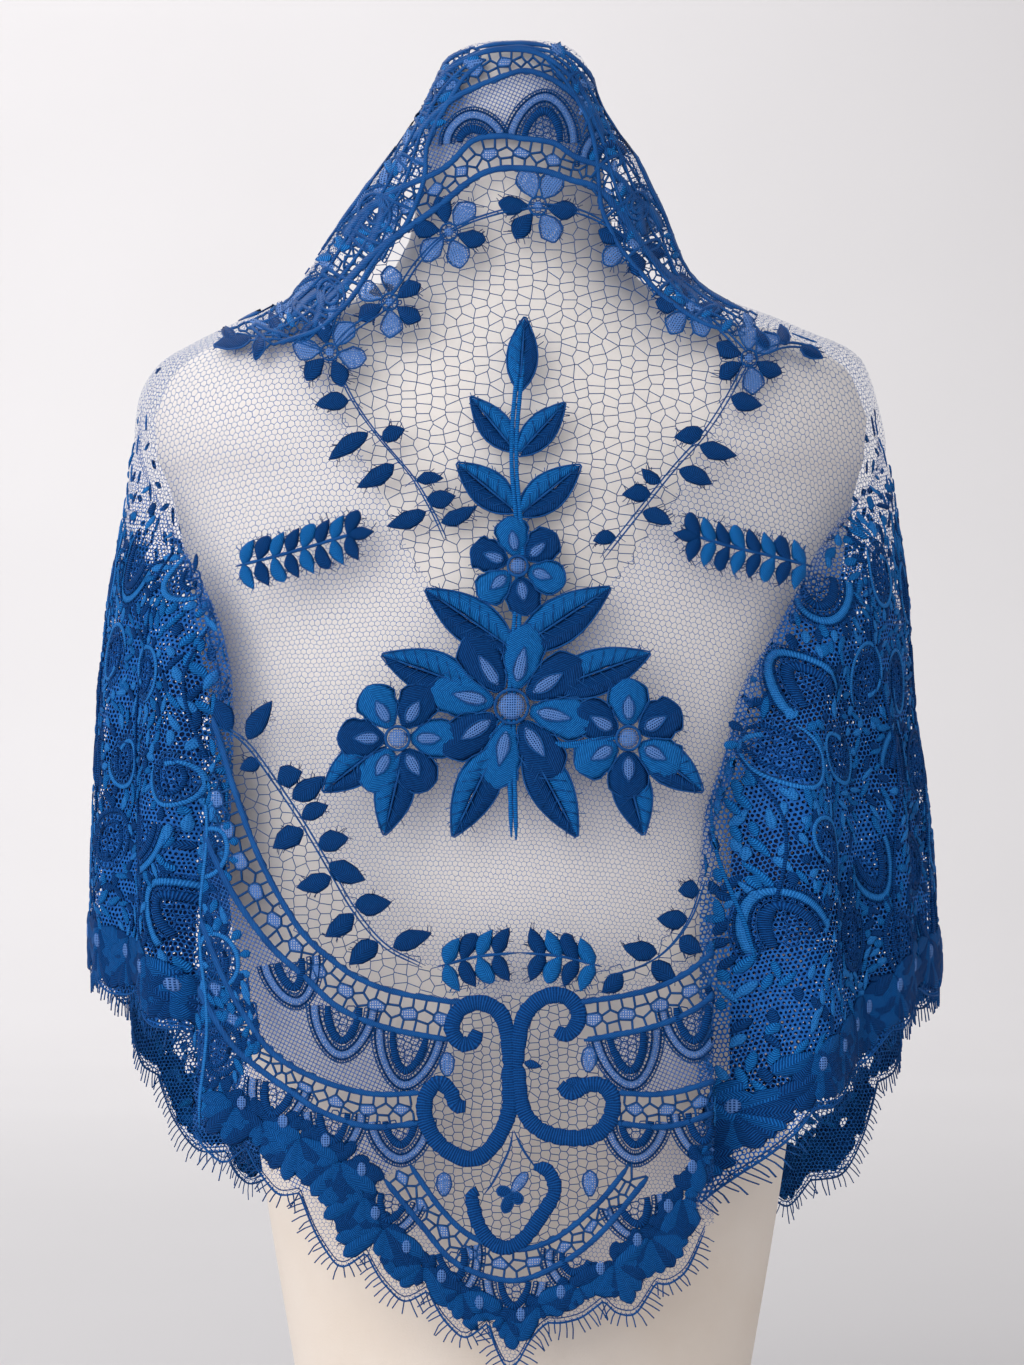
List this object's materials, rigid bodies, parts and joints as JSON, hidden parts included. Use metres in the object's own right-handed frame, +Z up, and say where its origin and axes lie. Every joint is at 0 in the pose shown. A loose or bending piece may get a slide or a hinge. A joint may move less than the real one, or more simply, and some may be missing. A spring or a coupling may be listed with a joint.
{
  "type": "lace shawl on a dress form",
  "caption": "Triangular lace shawl drawn hood-like over the neck of a limbless dress form, with cut-through bands, worked flowers, scrolls and a scalloped, fringed hem.",
  "frame": {"origin": "middle of the dress form's flat base, on the surface it stands on", "axes": "+Z up, -Y towards the viewer of the displayed back, +X to the wearer's right"},
  "size_m": [0.4478, 0.2491, 0.7596],
  "materials": {
    "form_cover": "matt cream jersey over a smooth limbless form",
    "lace": "cobalt-blue net and lace, slightly glossy thread",
    "thread": "fine cobalt thread",
    "dark_satin": "dense satin stitch in dark cobalt, soft sheen"
  },
  "bodies": {
    "root": {"dress_form": "form_cover", "back_panel": "lace", "left_side_drape": "lace", "right_side_drape": "lace", "left_front_panel": "lace", "right_front_panel": "lace", "back_fringe": "thread", "left_side_fringe": "thread", "right_side_fringe": "thread", "left_front_fringe": "thread", "right_front_fringe": "thread", "flower_garland": "dark_satin", "left_leaf_garland": "dark_satin", "right_leaf_garland": "dark_satin", "scroll_motif": "dark_satin", "centre_spray": "dark_satin"}
  },
  "joints": []
}
